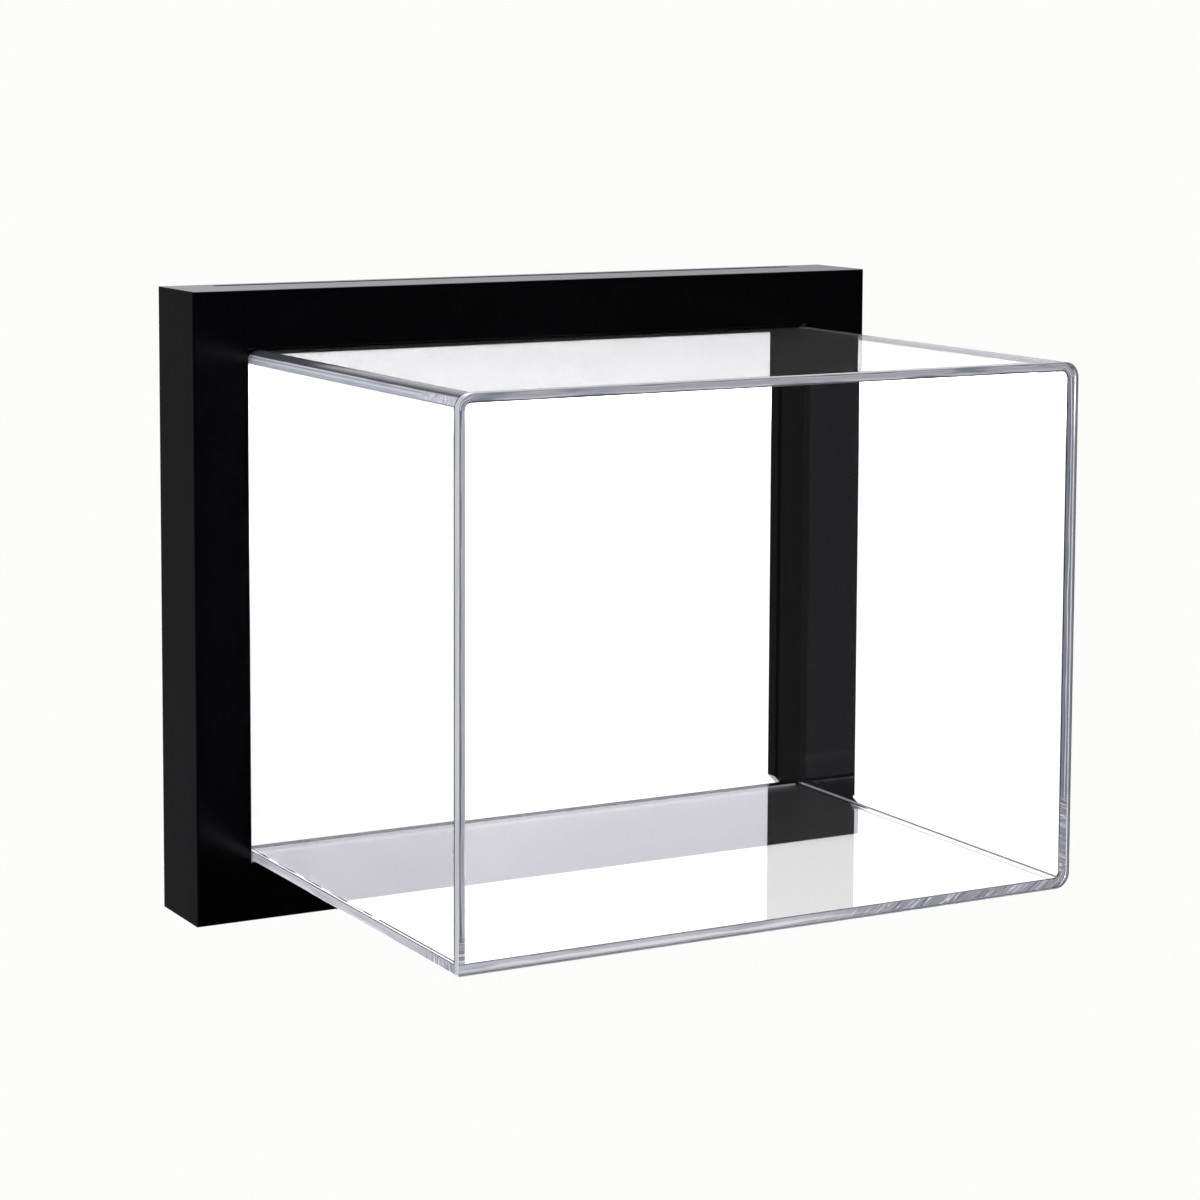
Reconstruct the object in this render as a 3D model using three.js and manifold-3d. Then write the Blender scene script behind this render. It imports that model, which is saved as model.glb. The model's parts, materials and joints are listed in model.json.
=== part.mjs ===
// Wall display case for a mini helmet: a black wood frame that carries a clear acrylic cover.
// Millimetres. X runs along the frame, +Y points into the wall and +Z up.
// The origin is the middle of the top rail's back face, which lies against the wall.
import * as THREE from "three";
import { mergeVertices } from "three/addons/utils/BufferGeometryUtils.js";
import Module from "manifold-3d";

const wasm = await Module();
wasm.setup();

// Driving dimensions of the frame
const frameWidth = 254;
const frameHeight = 205;
const frameDepth = 30;
const railWidth = 19;
const arrisRadius = 0.6;

// Driving dimensions of the clear pieces
const sheetThickness = 3;
const bendRadius = 5;
const coverReach = 147;
const rimSeat = 4;
const coverClearance = 0.6;

// Lips on the stiles and the stop strip under the top rail, which back the cover's rim
const stileLip = 1.6;
const stopDrop = 5;
const stopToPanel = 0.4;

// Grooves for the sliding back panel
const backWeb = 5;
const grooveDepth = 4;
const panelClearance = 0.3;
const webDrop = 3;
const scoopRadius = 9;
const scoopRise = 3;

// Gaps between pieces
const glueLine = 0.05;
const cementLine = 0.1;
const seatGap = 0.3;

// Keyhole hangers, let into the backs of the stiles
const keyPlateLength = 40;
const keyPlateWidth = 11;
const keyPlateGauge = 1.2;
const keyPlateCorner = 2;
const keyPlateDrop = 48.5;
const keyPlateInset = 8.8;
const keyholeRadius = 3.8;
const keySlotRadius = 1.9;
const keySlotRise = 7.5;
const keyholeDrop = 3.5;
const keyNailMargin = 0.8;
const keyNailDepth = 5;
const keyScrewSpacing = 30;

// Countersunk screws of the keyhole hangers
const screwShaftRadius = 1.3;
const screwHeadRadius = 2.9;
const screwHeadHeight = 1.1;
const screwLength = 13;
const screwTipLength = 2.5;
const driveSlotWidth = 0.7;
const driveSlotDepth = 0.6;
const driveSlotShare = 0.62;

// Bent steel wedges driven across each mitre
const wedgeLeg = 4.5;
const wedgeGauge = 0.8;
const wedgeHeight = 8;
const wedgeInsetOuter = 4.5;
const wedgeInsetInner = 9.5;

// Soft bumpers that keep the frame off the wall
const bumperRadius = 4.5;
const bumperHeight = 1.5;
const bumperDome = 0.9;

// All cuts run past the faces they open by this much
const overrun = 1;

// Round shapes, in counts
const arrisSteps = 3;
const bendSteps = 10;
const cornerSteps = 4;
const screwSides = 20;
const holeSides = 28;
const domeSteps = 5;

// Worked out from the sizes above
const halfWidth = frameWidth / 2;
const halfHeight = frameHeight / 2;
const openingHalfWidth = halfWidth - railWidth;
const openingHalfHeight = halfHeight - railWidth;
const coverHalfWidth = openingHalfWidth - coverClearance;
const coverHalfHeight = openingHalfHeight - coverClearance;
const lipHalfWidth = openingHalfWidth - stileLip;
const frameFront = -frameDepth;
const coverFront = frameFront - coverReach;
const rimBack = frameFront + rimSeat;
const stopFront = rimBack + seatGap;
const grooveBack = -backWeb;
const grooveFront = grooveBack - sheetThickness - panelClearance - panelClearance;
const grooveHalfWidth = lipHalfWidth + grooveDepth;
const panelHalfWidth = grooveHalfWidth - panelClearance;
const panelBack = grooveBack - panelClearance;
const panelBottom = seatGap - openingHalfHeight - grooveDepth;
const panelTop = halfHeight - panelClearance;
const keyRise = halfHeight - keyPlateDrop;
const keyScrewHeights = [-keyScrewSpacing / 2, keyScrewSpacing / 2];
const keyPocketDepth = keyPlateGauge + seatGap + seatGap;
const keyPlateBack = -seatGap;

// Colours and finishes
const lacquer = { color: 0x0b0c0f, roughness: 0.38, metalness: 0 };
const clearAcrylic = { color: 0xf4f7fb, roughness: 0.03, metalness: 0, transparent: true, opacity: 0.25 };
const zincSteel = { color: 0xb9bcc0, roughness: 0.35, metalness: 1 };
const softRubber = { color: 0x1b1b1c, roughness: 0.85, metalness: 0 };

// The corners of the frame, by name, with the side and the level of each
const frameCorners = [
  ["top_left", -1, 1],
  ["top_right", 1, 1],
  ["bottom_left", -1, -1],
  ["bottom_right", 1, -1],
];
const frameSides = [["left", -1], ["right", 1]];

// A closed geometry as a solid that can be cut.
function toSolid(geometry) {
  const bare = geometry.clone();
  bare.deleteAttribute("normal");
  bare.deleteAttribute("uv");
  const merged = mergeVertices(bare);
  const vertProperties = new Float32Array(merged.attributes.position.array);
  const triVerts = new Uint32Array(merged.index.array);
  return new wasm.Manifold(new wasm.Mesh({ numProp: 3, vertProperties, triVerts }));
}

// The solid back as a geometry.
function toGeometry(solid) {
  const { vertProperties, triVerts } = solid.getMesh();
  const geometry = new THREE.BufferGeometry();
  geometry.setAttribute("position", new THREE.BufferAttribute(new Float32Array(vertProperties), 3));
  geometry.setIndex(new THREE.BufferAttribute(new Uint32Array(triVerts), 1));
  geometry.computeVertexNormals();
  return geometry;
}

// A geometry less a list of others.
function cut(geometry, cutters) {
  const result = cutters.reduce((solid, cutter) => solid.subtract(toSolid(cutter)), toSolid(geometry));
  return toGeometry(result);
}

// An outline whose corners [x, y, radius] are rounded where they have a radius.
function rounded(corners, steps) {
  const points = [];
  corners.forEach(([x, y, radius], i) => {
    const here = new THREE.Vector2(x, y);
    if (!radius) {
      points.push(here);
      return;
    }
    const before = corners[(i + corners.length - 1) % corners.length];
    const after = corners[(i + 1) % corners.length];
    const toBefore = new THREE.Vector2(before[0], before[1]).sub(here).normalize();
    const toAfter = new THREE.Vector2(after[0], after[1]).sub(here).normalize();
    const halfAngle = Math.acos(toBefore.dot(toAfter)) / 2;
    const bisector = toBefore.clone().add(toAfter).normalize();
    const centre = here.clone().addScaledVector(bisector, radius / Math.sin(halfAngle));
    const start = here.clone().addScaledVector(toBefore, radius / Math.tan(halfAngle));
    const turn = Math.sign(toBefore.cross(toAfter)) * (2 * halfAngle - Math.PI);
    for (let k = 0; k <= steps; k += 1) {
      points.push(start.clone().rotateAround(centre, (turn * k) / steps));
    }
  });
  return points;
}

// The four corners of a rectangle between two opposite corners, each with one radius.
function rectangle(x0, y0, x1, y1, radius) {
  return [[x0, y0, radius], [x1, y0, radius], [x1, y1, radius], [x0, y1, radius]];
}

// An outline in X and Z, as thick as asked in Y and ending at the Y given as its back.
function plate(points, thickness, back) {
  const shape = new THREE.Shape(points);
  const geometry = new THREE.ExtrudeGeometry(shape, { depth: thickness, bevelEnabled: false });
  geometry.rotateX(Math.PI / 2);
  geometry.translate(0, back, 0);
  return geometry;
}

// A block between two opposite corners.
function block(x0, x1, y0, y1, z0, z1) {
  return plate(rounded(rectangle(x0, z0, x1, z1, 0), arrisSteps), y1 - y0, y1);
}

// A turned piece on the Y axis from a list of [radius, y], which starts and ends on the axis.
function turned(profile, sides) {
  return new THREE.LatheGeometry(profile.map(([radius, y]) => new THREE.Vector2(radius, y)), sides);
}

// A plain round bar on the Y axis between two depths.
function roundBar(radius, y0, y1, sides) {
  return turned([[0, y0], [radius, y0], [radius, y1], [0, y1]], sides);
}

// A geometry moved to a place.
function moved(geometry, x, y, z) {
  return geometry.clone().translate(x, y, z);
}

// A named piece with its own material.
function piece(name, geometry, finish) {
  const mesh = new THREE.Mesh(geometry, new THREE.MeshStandardMaterial(finish));
  mesh.name = name;
  return mesh;
}

// A bar whose ends are cut at 45 degrees.
// It runs along X, with its outer edge at z = 0 and its back at y = 0.
// The section is a list of points: how far in from the outer edge, and the depth.
function mitredBar(length, section) {
  const mitreShift = glueLine / Math.SQRT2;
  const count = section.length;
  const positions = [];
  for (const side of [-1, 1]) {
    for (const point of section) {
      positions.push(side * (length / 2 - point.x - mitreShift), point.y, -point.x);
    }
  }
  const indices = [];
  for (let i = 0; i < count; i += 1) {
    const next = (i + 1) % count;
    indices.push(i, next, i + count);
    indices.push(next, next + count, i + count);
  }
  for (const [a, b, c] of THREE.ShapeUtils.triangulateShape(section, [])) {
    indices.push(a, c, b);
    indices.push(a + count, b + count, c + count);
  }
  const geometry = new THREE.BufferGeometry();
  geometry.setAttribute("position", new THREE.Float32BufferAttribute(positions, 3));
  geometry.setIndex(indices);
  return geometry;
}

// The top rail's section: a rectangle with softened arrises.
function topSection() {
  return rounded(rectangle(0, frameFront, railWidth, 0, arrisRadius), arrisSteps);
}

// The bottom rail's section: a groove for the panel's lower edge, and a lower web behind it.
function bottomSection() {
  const grooveFloor = railWidth - grooveDepth;
  const webEdge = railWidth - webDrop;
  const corners = [
    [0, frameFront, arrisRadius],
    [railWidth, frameFront, arrisRadius],
    [railWidth, grooveFront, 0],
    [grooveFloor, grooveFront, 0],
    [grooveFloor, grooveBack, 0],
    [webEdge, grooveBack, 0],
    [webEdge, 0, arrisRadius],
    [0, 0, arrisRadius],
  ];
  return rounded(corners, arrisSteps);
}

// The stiles' section: a seat for the cover's rim, a lip behind it, and a groove for the panel.
function stileSection() {
  const lipEdge = railWidth + stileLip;
  const grooveFloor = lipEdge - grooveDepth;
  const corners = [
    [0, frameFront, arrisRadius],
    [railWidth, frameFront, arrisRadius],
    [railWidth, stopFront, 0],
    [lipEdge, stopFront, 0],
    [lipEdge, grooveFront, 0],
    [grooveFloor, grooveFront, 0],
    [grooveFloor, grooveBack, 0],
    [lipEdge, grooveBack, 0],
    [lipEdge, 0, arrisRadius],
    [0, 0, arrisRadius],
  ];
  return rounded(corners, arrisSteps);
}

// The elbow of a wedge: its corner lies on the mitre at +X, its legs run into the two bars.
// It is grown all round for the slot that takes it. The outer edge of the bar is at z = 0.
function wedgeOutline(length, inset, grow) {
  const half = wedgeGauge / 2 + grow;
  const leg = wedgeLeg + grow;
  const x = length / 2 - inset;
  const z = -inset;
  return [
    new THREE.Vector2(x + half, z + half),
    new THREE.Vector2(x - leg, z + half),
    new THREE.Vector2(x - leg, z - half),
    new THREE.Vector2(x - half, z - half),
    new THREE.Vector2(x - half, z - leg),
    new THREE.Vector2(x + half, z - leg),
  ];
}

// The slots that the wedges need at both ends of a bar.
function wedgeSlots(length) {
  const depth = wedgeHeight + seatGap + seatGap + overrun;
  return [wedgeInsetOuter, wedgeInsetInner].flatMap((inset) => {
    const right = wedgeOutline(length, inset, seatGap);
    const left = right.map((point) => new THREE.Vector2(-point.x, point.y));
    return [plate(right, depth, overrun), plate(left, depth, overrun)];
  });
}

// A countersunk screw along Y with its flat head at y = 0, slotted crosswise for a driver.
function countersunkScrew() {
  const profile = [
    [0, -screwLength],
    [screwShaftRadius, screwTipLength - screwLength],
    [screwShaftRadius, -screwHeadHeight],
    [screwHeadRadius, 0],
    [0, 0],
  ];
  const reach = screwHeadRadius * driveSlotShare;
  const half = driveSlotWidth / 2;
  const slots = [
    block(-reach, reach, -driveSlotDepth, overrun, -half, half),
    block(-half, half, -driveSlotDepth, overrun, -reach, reach),
  ];
  return cut(turned(profile, screwSides), slots);
}

// A keyhole hanger with its outer face at y = 0: a round hole for a nail's head, and a slot up from it.
function keyholeHanger() {
  const half = keyPlateWidth / 2;
  const end = keyPlateLength / 2;
  const outline = rounded(rectangle(-half, -end, half, end, keyPlateCorner), cornerSteps);
  const blank = plate(outline, keyPlateGauge, 0);
  const through = [-keyPlateGauge - overrun, overrun];
  const cutters = [
    moved(roundBar(keyholeRadius, ...through, holeSides), 0, 0, -keyholeDrop),
    moved(roundBar(keySlotRadius, ...through, holeSides), 0, 0, keySlotRise - keyholeDrop),
    block(-keySlotRadius, keySlotRadius, ...through, -keyholeDrop, keySlotRise - keyholeDrop),
  ];
  const sink = [
    [0, -keyPlateGauge - overrun],
    [screwShaftRadius + seatGap, -keyPlateGauge - overrun],
    [screwShaftRadius + seatGap, -screwHeadHeight],
    [screwHeadRadius + seatGap, 0],
    [screwHeadRadius + seatGap, overrun],
    [0, overrun],
  ];
  for (const height of keyScrewHeights) {
    cutters.push(moved(turned(sink, screwSides), 0, 0, height));
  }
  return cut(blank, cutters);
}

// The cuts that a hanger needs in the back of a stile, with the hanger's middle at x and z.
function hangerCuts(x, z) {
  const half = keyPlateWidth / 2 + seatGap;
  const end = keyPlateLength / 2 + seatGap;
  const outline = rounded(rectangle(-half, -end, half, end, keyPlateCorner + seatGap), cornerSteps);
  const nail = keyholeRadius + keyNailMargin;
  const nailDepth = keyPocketDepth + keyNailDepth;
  const cuts = [
    plate(outline, keyPocketDepth + overrun, overrun),
    moved(roundBar(nail, -nailDepth, overrun, holeSides), 0, 0, -keyholeDrop),
    moved(roundBar(nail, -nailDepth, overrun, holeSides), 0, 0, keySlotRise - keyholeDrop),
    block(-nail, nail, -nailDepth, overrun, -keyholeDrop, keySlotRise - keyholeDrop),
  ];
  const holeFoot = keyPlateBack - screwLength - seatGap;
  for (const height of keyScrewHeights) {
    cuts.push(moved(roundBar(screwShaftRadius + seatGap, holeFoot, overrun, screwSides), 0, 0, height));
  }
  return cuts.map((cutter) => moved(cutter, x, 0, z));
}

// A domed bumper that stands on y = 0.
function bumper() {
  const profile = [[0, 0], [bumperRadius, 0]];
  for (let k = 0; k <= domeSteps; k += 1) {
    const angle = (Math.PI / 2) * (k / domeSteps);
    const radius = bumperRadius - bumperDome * (1 - Math.cos(angle));
    profile.push([radius, bumperHeight - bumperDome + bumperDome * Math.sin(angle)]);
  }
  profile.push([0, bumperHeight]);
  return turned(profile, holeSides);
}

// A geometry that lies in the frame's own X and Z, turned into the place of one bar for cutting it.
function inBar(geometry, angle, reach) {
  return geometry.clone().rotateY(-angle).translate(0, 0, -reach);
}

// The four bars of the frame, each turned so that its outer edge faces outward.
function addBars(frame) {
  const slotEnds = [-grooveHalfWidth, grooveHalfWidth];
  const slotRise = [openingHalfHeight - overrun, halfHeight + overrun];
  const slot = block(...slotEnds, grooveFront, grooveBack, ...slotRise);
  const scoopCutter = roundBar(scoopRadius, grooveFront, overrun, holeSides);
  const scoop = moved(scoopCutter, 0, 0, -openingHalfHeight - scoopRise);
  const hangerX = halfWidth - keyPlateInset;
  const bars = [
    ["top_rail", frameWidth, topSection(), 0, halfHeight, [slot]],
    ["bottom_rail", frameWidth, bottomSection(), Math.PI, halfHeight, [scoop]],
    ["left_stile", frameHeight, stileSection(), -Math.PI / 2, halfWidth, hangerCuts(-hangerX, keyRise)],
    ["right_stile", frameHeight, stileSection(), Math.PI / 2, halfWidth, hangerCuts(hangerX, keyRise)],
  ];
  for (const [name, length, section, angle, reach, cutters] of bars) {
    const localCutters = cutters.map((cutter) => inBar(cutter, angle, reach));
    const milled = cut(mitredBar(length, section), [...wedgeSlots(length), ...localCutters]);
    const bar = piece(name, milled, lacquer);
    bar.position.set(Math.sin(angle) * reach, 0, Math.cos(angle) * reach);
    bar.rotation.y = angle;
    frame.add(bar);
  }
}

// The strip under the top rail that the cover's rim meets, clear of the back panel's path.
function addTopStop(frame) {
  const end = lipHalfWidth - seatGap;
  const stopBack = grooveFront - stopToPanel;
  const under = openingHalfHeight - stopDrop;
  const strip = block(-end, end, stopFront, stopBack, under, openingHalfHeight - glueLine);
  frame.add(piece("top_stop", strip, lacquer));
}

// Two wedges at each corner, sunk a little below the back.
function addWedges(frame) {
  for (const [place, inset] of [["outer", wedgeInsetOuter], ["inner", wedgeInsetInner]]) {
    const elbow = wedgeOutline(frameWidth, inset, 0);
    for (const [corner, sx, sz] of frameCorners) {
      const points = elbow.map((point) => new THREE.Vector2(sx * point.x, sz * (point.y + halfHeight)));
      frame.add(piece(`mitre_wedge_${corner}_${place}`, plate(points, wedgeHeight, -seatGap), zincSteel));
    }
  }
}

// The cover: one sheet bent round three corners, whose ends meet at the lower left.
// Its front is a flat sheet cemented to the bent one.
function addCover(frame) {
  const x = coverHalfWidth;
  const z = coverHalfHeight;
  const t = sheetThickness;
  const innerBend = bendRadius - t;
  const wrapOutline = [
    [-x, -z, 0],
    [x, -z, bendRadius],
    [x, z, bendRadius],
    [-x, z, bendRadius],
    [-x, t + cementLine - z, 0],
    [t - x, t + cementLine - z, 0],
    [t - x, z - t, innerBend],
    [x - t, z - t, innerBend],
    [x - t, t - z, innerBend],
    [-x, t - z, 0],
  ];
  const wrapFront = coverFront + t + cementLine;
  const wrap = plate(rounded(wrapOutline, bendSteps), rimBack - wrapFront, rimBack);
  frame.add(piece("cover_wrap", wrap, clearAcrylic));
  const frontOutline = [[-x, -z, 0], [x, -z, bendRadius], [x, z, bendRadius], [-x, z, bendRadius]];
  const front = plate(rounded(frontOutline, bendSteps), t, coverFront + t);
  frame.add(piece("cover_front", front, clearAcrylic));
}

// The clear back, which stands in its grooves and lifts out through the slot in the top rail.
function addBackPanel(frame) {
  const x = panelHalfWidth;
  const panel = block(-x, x, panelBack - sheetThickness, panelBack, panelBottom, panelTop);
  frame.add(piece("back_panel", panel, clearAcrylic));
}

// A keyhole hanger in each stile, with two screws.
function addHangers(frame) {
  for (const [sideName, side] of frameSides) {
    const x = side * (halfWidth - keyPlateInset);
    const hanger = piece(`keyhole_hanger_${sideName}`, keyholeHanger(), zincSteel);
    hanger.position.set(x, keyPlateBack, keyRise);
    frame.add(hanger);
    for (const [i, levelName] of ["lower", "upper"].entries()) {
      const screw = piece(`hanger_screw_${sideName}_${levelName}`, countersunkScrew(), zincSteel);
      screw.position.set(x, keyPlateBack, keyRise + keyScrewHeights[i]);
      frame.add(screw);
    }
  }
}

// A bumper near each end of the stiles, midway between where a hanger ends and where the wedges do.
function addBumpers(frame) {
  const hangerTop = keyRise + keyPlateLength / 2;
  const wedgeFoot = halfHeight - wedgeInsetInner - wedgeLeg;
  for (const [corner, sx, sz] of frameCorners) {
    const pad = piece(`bumper_${corner}`, bumper(), softRubber);
    pad.position.set(sx * (halfWidth - keyPlateInset), glueLine, (sz * (hangerTop + wedgeFoot)) / 2);
    frame.add(pad);
  }
}

// The whole case, with the middle of the top rail's back at the origin.
const displayCase = new THREE.Group();
const frame = new THREE.Group();
frame.position.z = railWidth / 2 - halfHeight;
displayCase.add(frame);
addBars(frame);
addTopStop(frame);
addWedges(frame);
addCover(frame);
addBackPanel(frame);
addHangers(frame);
addBumpers(frame);

export default displayCase;
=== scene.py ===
"""Looks for a mini helmet display case: a black frame, a bent clear cover and a clear sliding back."""

import json
import math

import bmesh
import bpy
from bpy.props import FloatProperty, FloatVectorProperty, IntProperty, PointerProperty, StringProperty
from bpy.types import Operator, Panel, PropertyGroup
from mathutils import Matrix, Vector

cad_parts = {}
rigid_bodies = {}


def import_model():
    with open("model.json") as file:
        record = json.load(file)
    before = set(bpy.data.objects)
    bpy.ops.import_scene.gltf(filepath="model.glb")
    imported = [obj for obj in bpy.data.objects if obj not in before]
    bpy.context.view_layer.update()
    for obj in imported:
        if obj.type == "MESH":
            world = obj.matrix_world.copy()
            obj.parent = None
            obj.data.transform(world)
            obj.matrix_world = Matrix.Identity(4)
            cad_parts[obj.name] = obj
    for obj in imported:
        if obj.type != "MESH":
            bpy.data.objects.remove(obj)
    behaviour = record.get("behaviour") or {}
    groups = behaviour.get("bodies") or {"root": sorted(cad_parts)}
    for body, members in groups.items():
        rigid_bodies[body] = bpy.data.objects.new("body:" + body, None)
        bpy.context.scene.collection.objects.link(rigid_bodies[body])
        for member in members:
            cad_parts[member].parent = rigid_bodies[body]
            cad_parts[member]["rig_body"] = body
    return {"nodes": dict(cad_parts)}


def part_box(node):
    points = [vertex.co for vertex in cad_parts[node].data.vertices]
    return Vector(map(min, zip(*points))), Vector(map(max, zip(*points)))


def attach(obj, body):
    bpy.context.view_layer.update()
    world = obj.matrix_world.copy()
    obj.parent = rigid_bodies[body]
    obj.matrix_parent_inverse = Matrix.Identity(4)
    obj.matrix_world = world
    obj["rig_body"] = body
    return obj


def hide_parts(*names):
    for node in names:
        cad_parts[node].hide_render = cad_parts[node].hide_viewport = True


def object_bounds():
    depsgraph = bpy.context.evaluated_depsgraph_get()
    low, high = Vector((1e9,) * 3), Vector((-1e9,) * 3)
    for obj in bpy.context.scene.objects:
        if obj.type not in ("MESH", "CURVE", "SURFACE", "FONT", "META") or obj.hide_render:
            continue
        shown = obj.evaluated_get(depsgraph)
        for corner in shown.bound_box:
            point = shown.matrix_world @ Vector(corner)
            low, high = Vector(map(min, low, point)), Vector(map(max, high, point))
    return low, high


bl_info = {
    "name": "Mini Helmet Display Case",
    "version": (1, 0, 0),
    "blender": (4, 5, 0),
    "location": "View3D > Sidebar > Display Case",
    "description": "Dresses a wall display case: black frame, bent clear cover, sliding clear back, hardware",
    "category": "Object",
}

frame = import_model()
CAD_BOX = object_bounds()
MM = 0.001
ACRYLIC_IOR = 1.49
# An edge of a form counts as an arris, and is eased, where its faces turn by more than this
ARRIS_TURN = math.radians(60)
# How much more the broad faces count than the narrow ones beside them, in how a sheet is shaded
BROAD_FACE_WEIGHT = 100


# Numbers and colours


def linear(hex_colour):
    """An sRGB hex value such as 101216 as linear red, green, blue and an alpha of 1."""
    channels = [int(hex_colour[i:i + 2], 16) / 255 for i in (0, 2, 4)]
    return [c / 12.92 if c <= 0.04045 else ((c + 0.055) / 1.055) ** 2.4 for c in channels] + [1.0]


def per_metre(millimetres):
    """The texture scale at which one cell of a pattern is this many millimetres wide."""
    return 1 / (millimetres * MM)


def length(name, description, default_mm):
    return FloatProperty(
        name=name, description=description, default=default_mm * MM, unit="LENGTH", precision=5)


def number(name, description, default):
    return FloatProperty(name=name, description=description, default=default)


def colour(name, description, default):
    return StringProperty(name=name, description=description + ", as an sRGB hex value", default=default)


# What a user would change


class CaseFrameSettings(PropertyGroup):
    lacquer: colour("Lacquer", "Colour of the satin black lacquer", "010105")
    lacquer_worn: colour(
        "Lacquer in the pores", "Colour where the lacquer lies thin in the wood's pores", "040408")
    pore_width: length("Pore width", "Width of the wood's pores under the lacquer", 0.7)
    pore_length: length("Pore length", "Length of the wood's pores along the bar", 16)
    peel_size: length("Orange peel", "Size of the sprayed lacquer's ripples", 1.6)
    glue_film: length("Glue film", "Thickness of the dark glue film in each mitre", 0.046)
    glue_inset: length("Glue inset", "How far the film stays behind the bars' faces", 0.01)
    glue_cut: length("Glue cut", "How far the film's corners stay behind the bars' soft front arrises", 0.75)


class CaseCoverSettings(PropertyGroup):
    sheet: length("Sheet", "Thickness of the acrylic sheet", 3)
    bend_radius: length("Bend radius", "Outer radius of the heat-bent edges", 5)
    cement: length("Cement line", "Thickness of the solvent cement between two sheets", 0.1)
    edge_ease: length("Eased edge", "Width of the scraped arris of a sawn edge", 0.2)
    bend_steps: IntProperty(name="Bend steps", description="Facets in each bend", default=24, min=8, max=64)
    # Below 1, the top and bottom sheets turn partly matt white, which lifts the black seen through them
    shelf_clear: number("Shelf clarity", "How clear the top and the bottom are under their dust", 0.965)
    rim_show: number("Rear rims", "How much of the flame-polished rear rims shows", 0.1)
    tint: colour("Tint", "Colour of the acrylic seen through its thickness", "fefeff")
    # The edge colours below are painted light. They stand in for the light and shade that the cover's sawn
    # edges gather and reflect: painted glints, painted reflection streaks and patches, and painted dark lines
    # at the arrises
    edge_glint: colour("Edge, glint", "Colour of a sawn edge where it glints", "fafafc")
    edge_milk: colour("Edge, milk", "Colour of a sawn edge where it is milky", "d2d2d9")
    edge_pearl: colour("Edge, pearl", "Colour of a sawn edge's even parts", "b9b9bf")
    edge_haze: colour("Edge, haze", "Colour of a sawn edge where it is hazy", "9194a0")
    edge_deep: colour("Edge, deep", "Colour of the patches of a sawn edge that look deep", "6f7788")
    edge_line: colour("Edge, line", "Colour of the thin lines along a sawn edge's arrises", "6b6b71")
    edge_dark: colour("Edge, dark", "Colour of the darkest line in the upper left bend", "3f4046")
    # Emission strength of the edges' painted glow, which stands in for the light they gather
    edge_painted_glow: number("Edge glow", "How much gathered light a sawn edge gives back", 0.35)
    wave_length: length("Sheet waviness", "Distance between the slow waves of cast sheet", 45)
    # The streaks and their patches along an edge are painted reflections
    streak_length: length("Edge streaks", "Length of the light and dark streaks along a sawn edge", 26)
    streak_width: length("Streak width", "Width of the streaks along a sawn edge", 2.2)
    # The rungs follow saw chatter's pattern, in painted glint and reflection tones
    rung_width: length(
        "Saw chatter", "Width of the light and dark rungs that the saw leaves across an edge", 3)
    # How far down the upper left bend its painted glow reaches
    bend_glow_depth: length("Bend glow", "How far down the upper left bend its gathered light shows", 3.9)


class CaseHardwareSettings(PropertyGroup):
    zinc: colour("Zinc", "Colour of the bright zinc plate", "c3c6ca")
    zinc_shadow: colour("Zinc, passivated", "Colour of the duller patches of the plate", "a9adb4")
    rubber: colour("Rubber", "Colour of the bumpers", "17181a")
    rubber_bloom: colour("Rubber bloom", "Colour of the dust in the rubber's pebbles", "232427")
    shaft: length("Screw shaft", "Diameter of the hanger screws over their thread", 2.6)
    head_depth: length("Screw head", "Depth of the hanger screws' countersunk head", 1.1)
    tip: length("Screw tip", "Length of the hanger screws' pointed tip", 2.5)
    recess: length("Cross recess", "Width of each arm of the hanger screws' cross recess", 0.7)
    recess_depth: length("Recess depth", "Depth of the hanger screws' cross recess", 0.6)
    thread_pitch: length("Thread pitch", "Pitch of the hanger screws' thread", 1.1)
    thread_depth: length("Thread depth", "Depth of the hanger screws' thread", 0.35)
    plate_ease: length("Plate arris", "Width of the eased arris on the pressed plate", 0.12)
    dome: length("Bumper dome", "Height of the dome on each bumper", 0.9)


class CaseStageSettings(PropertyGroup):
    camera_place: FloatVectorProperty(
        name="Camera", description="Where the camera stands", default=(-0.499028, -0.950044, 0.080029),
        unit="LENGTH")
    camera_turn: FloatVectorProperty(
        name="Camera turn", description="How the camera is turned",
        default=(math.radians(84.4543), math.radians(-0.0594), math.radians(-27.5054)), subtype="EULER",
        unit="ROTATION")
    lens: number("Lens", "Focal length in millimetres on a 36 mm sensor", 94.186)
    shift_x: number("Shift X", "Sideways shift of the photograph's frame", 0.08822)
    shift_y: number("Shift Y", "Upward shift of the photograph's frame", -0.18953)
    sweep: colour("Sweep", "Colour of the white sweep behind the case", "fefefd")
    sweep_glow: number("Sweep glow", "Brightness of the floor through clear sheet", 1.45)
    sweep_seen: number("Sweep seen", "Brightness of the sweep seen directly", 0.985)
    studio_tint: colour("Studio tint", "Colour of the studio in reflections", "f6f5fb")
    studio_glow: number("Studio", "Brightness of the studio in reflections", 1.0)
    soft_glow: number("Soft light", "Brightness of the light on matt surfaces", 1.0)
    floor: colour("Floor", "Colour of the pale floor", "f4f4f2")
    floor_drop: length("Floor drop", "Height of the case's underside above the floor", 420)
    floor_size: length("Floor size", "Width and depth of the pale floor", 4000)


# Building help


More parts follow.
